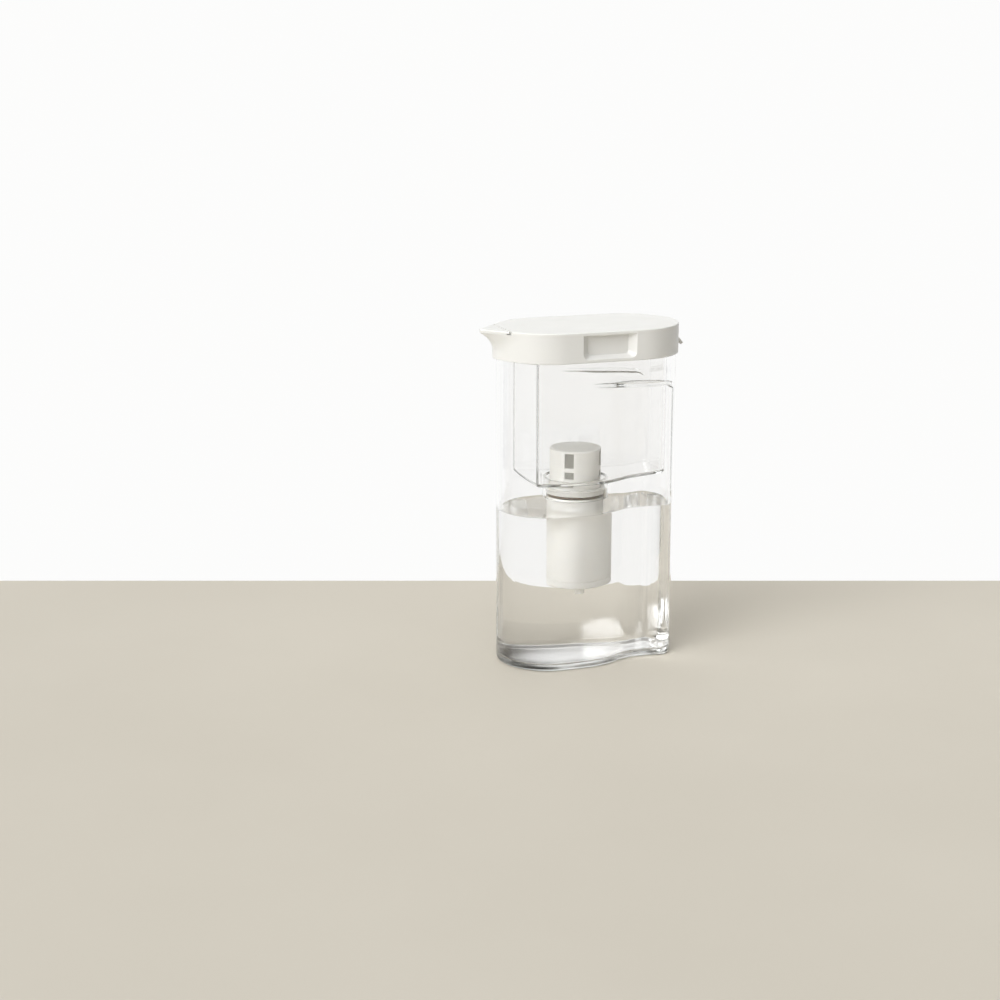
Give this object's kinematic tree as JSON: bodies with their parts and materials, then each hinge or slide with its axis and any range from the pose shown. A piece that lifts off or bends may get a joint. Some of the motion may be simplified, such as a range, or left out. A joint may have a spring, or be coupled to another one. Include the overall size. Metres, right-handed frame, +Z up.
{
  "type": "water filter pitcher",
  "caption": "Tall slim water filter pitcher: clear jug with a waisted grip, white spout collar, flat lid with a hinged flap, inner tank and a filter cartridge.",
  "frame": {"origin": "centre of the jug's underside, on the surface it stands on", "axes": "+X from the spout towards the grip end, +Y across the pitcher, +Z up"},
  "size_m": [0.1735, 0.0884, 0.28],
  "materials": {
    "clear_jug": "clear, polished",
    "clear_hopper": "clear, polished",
    "white_shell": "fine satin",
    "white_lid": "fine satin",
    "soft_seal": "matt silicone",
    "pin_steel": "drawn",
    "cartridge_white": "satin",
    "strainer_mesh": "fine mesh",
    "o_ring_rubber": "smooth",
    "pad_fleece": "felted",
    "carbon": "granular",
    "fibre": "silky",
    "resin": "cast"
  },
  "bodies": {
    "jug": {"jug_body": "clear_jug"},
    "hopper_assembly": {"collar": "white_shell", "rim_seal": "soft_seal", "hopper": "clear_hopper"},
    "lid": {"lid_plate": "white_lid", "lid_seal": "soft_seal", "flap_pin": "pin_steel"},
    "flap": {"spout_flap": "white_lid"},
    "cartridge": {"cartridge_cap": "cartridge_white", "inlet_strainer": "strainer_mesh", "cartridge_housing": "cartridge_white", "cartridge_o_ring": "o_ring_rubber", "inlet_pad": "pad_fleece", "carbon_bed": "carbon", "middle_pad": "pad_fleece", "fibre_bundle": "fibre", "potting_disc": "resin", "cartridge_base": "cartridge_white"}
  },
  "joints": [
    {"name": "hopper_lift", "type": "slide", "parent": "jug", "child": "hopper_assembly", "axis": [0, 0, 1], "range_m": [0, 0.215]},
    {"name": "lid_lift", "type": "slide", "parent": "hopper_assembly", "child": "lid", "axis": [0, 0, 1], "range_m": [0, 0.05]},
    {"name": "flap_swing", "type": "hinge", "parent": "lid", "child": "flap", "pos_m": [-0.0736, 0, 0.2787], "axis": [0, 1, 0], "range_deg": [0, 80]},
    {"name": "cartridge_lift", "type": "slide", "parent": "hopper_assembly", "child": "cartridge", "axis": [0, 0, 1], "range_m": [0, 0.09]}
  ]
}
